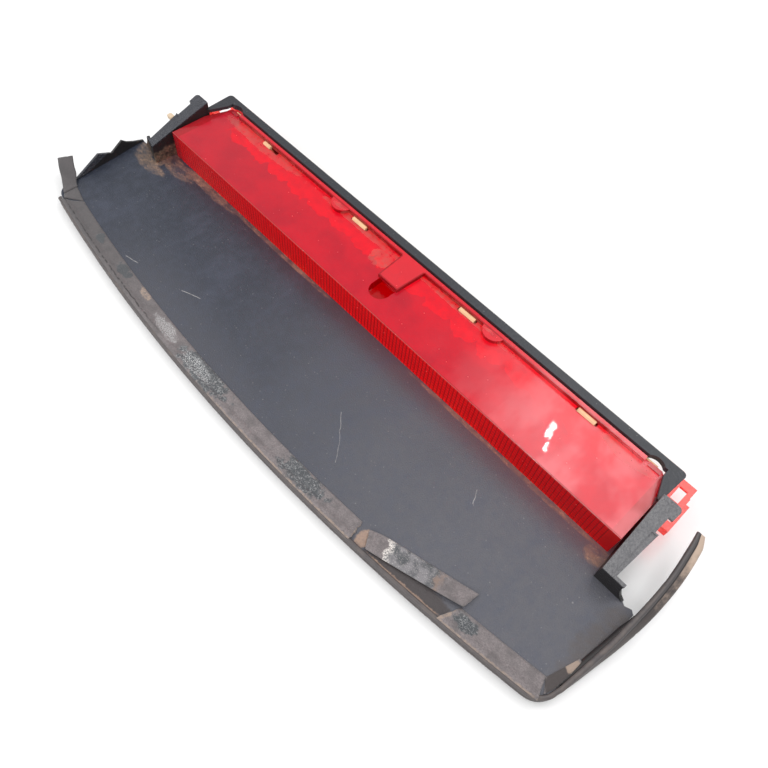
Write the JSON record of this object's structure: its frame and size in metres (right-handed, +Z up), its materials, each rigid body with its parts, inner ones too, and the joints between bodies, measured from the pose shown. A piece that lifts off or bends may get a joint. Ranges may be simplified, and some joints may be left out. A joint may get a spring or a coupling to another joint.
{
  "type": "third_brake_light",
  "caption": "High-level third brake light: long red fluted lens with a lamp carrier, clipped into a dark moulded shroud panel with felt tape and rubber edge trim",
  "frame": {"origin": "on the resting plane, under the middle of the lens's front face", "axes": "+X along the lens to its right end seen from the front, +Y from the curved front edge to the back, +Z up"},
  "size_m": [0.6241, 0.2145, 0.049],
  "materials": {
    "shroud_plastic": "grained blue-grey moulded plastic, scratched and dusty",
    "red_lens": "clear red moulded lens, fluted inside the front face",
    "beige_plastic": "beige moulded plastic",
    "board_green": "green circuit board",
    "led_red": "red LED bodies",
    "resistor_body": "coated resistor bodies",
    "black_plastic": "black moulded plastic",
    "steel": "zinc-plated screws",
    "brass": "bright contact pins",
    "trim_rubber": "dark rubber strip, brown with dirt",
    "felt_tape": "brown-grey felt tape, worn and dirty",
    "beige_pad": "beige felt pad"
  },
  "bodies": {
    "root": {"shroud": "shroud_plastic", "lens": "red_lens", "lamp_carrier": "beige_plastic", "led_board": "board_green", "leds": "led_red", "resistors": "resistor_body", "diode": "black_plastic", "board_screws": "steel", "lens_screws": "steel", "connector_socket": "black_plastic", "connector_pins": "brass", "edge_trim": "trim_rubber", "tape_loose_end": "felt_tape", "tape_fold": "felt_tape", "tape_main": "felt_tape", "tape_peeled": "felt_tape", "tape_right": "felt_tape", "tape_corner": "felt_tape", "wall_pad": "beige_pad"}
  },
  "joints": []
}
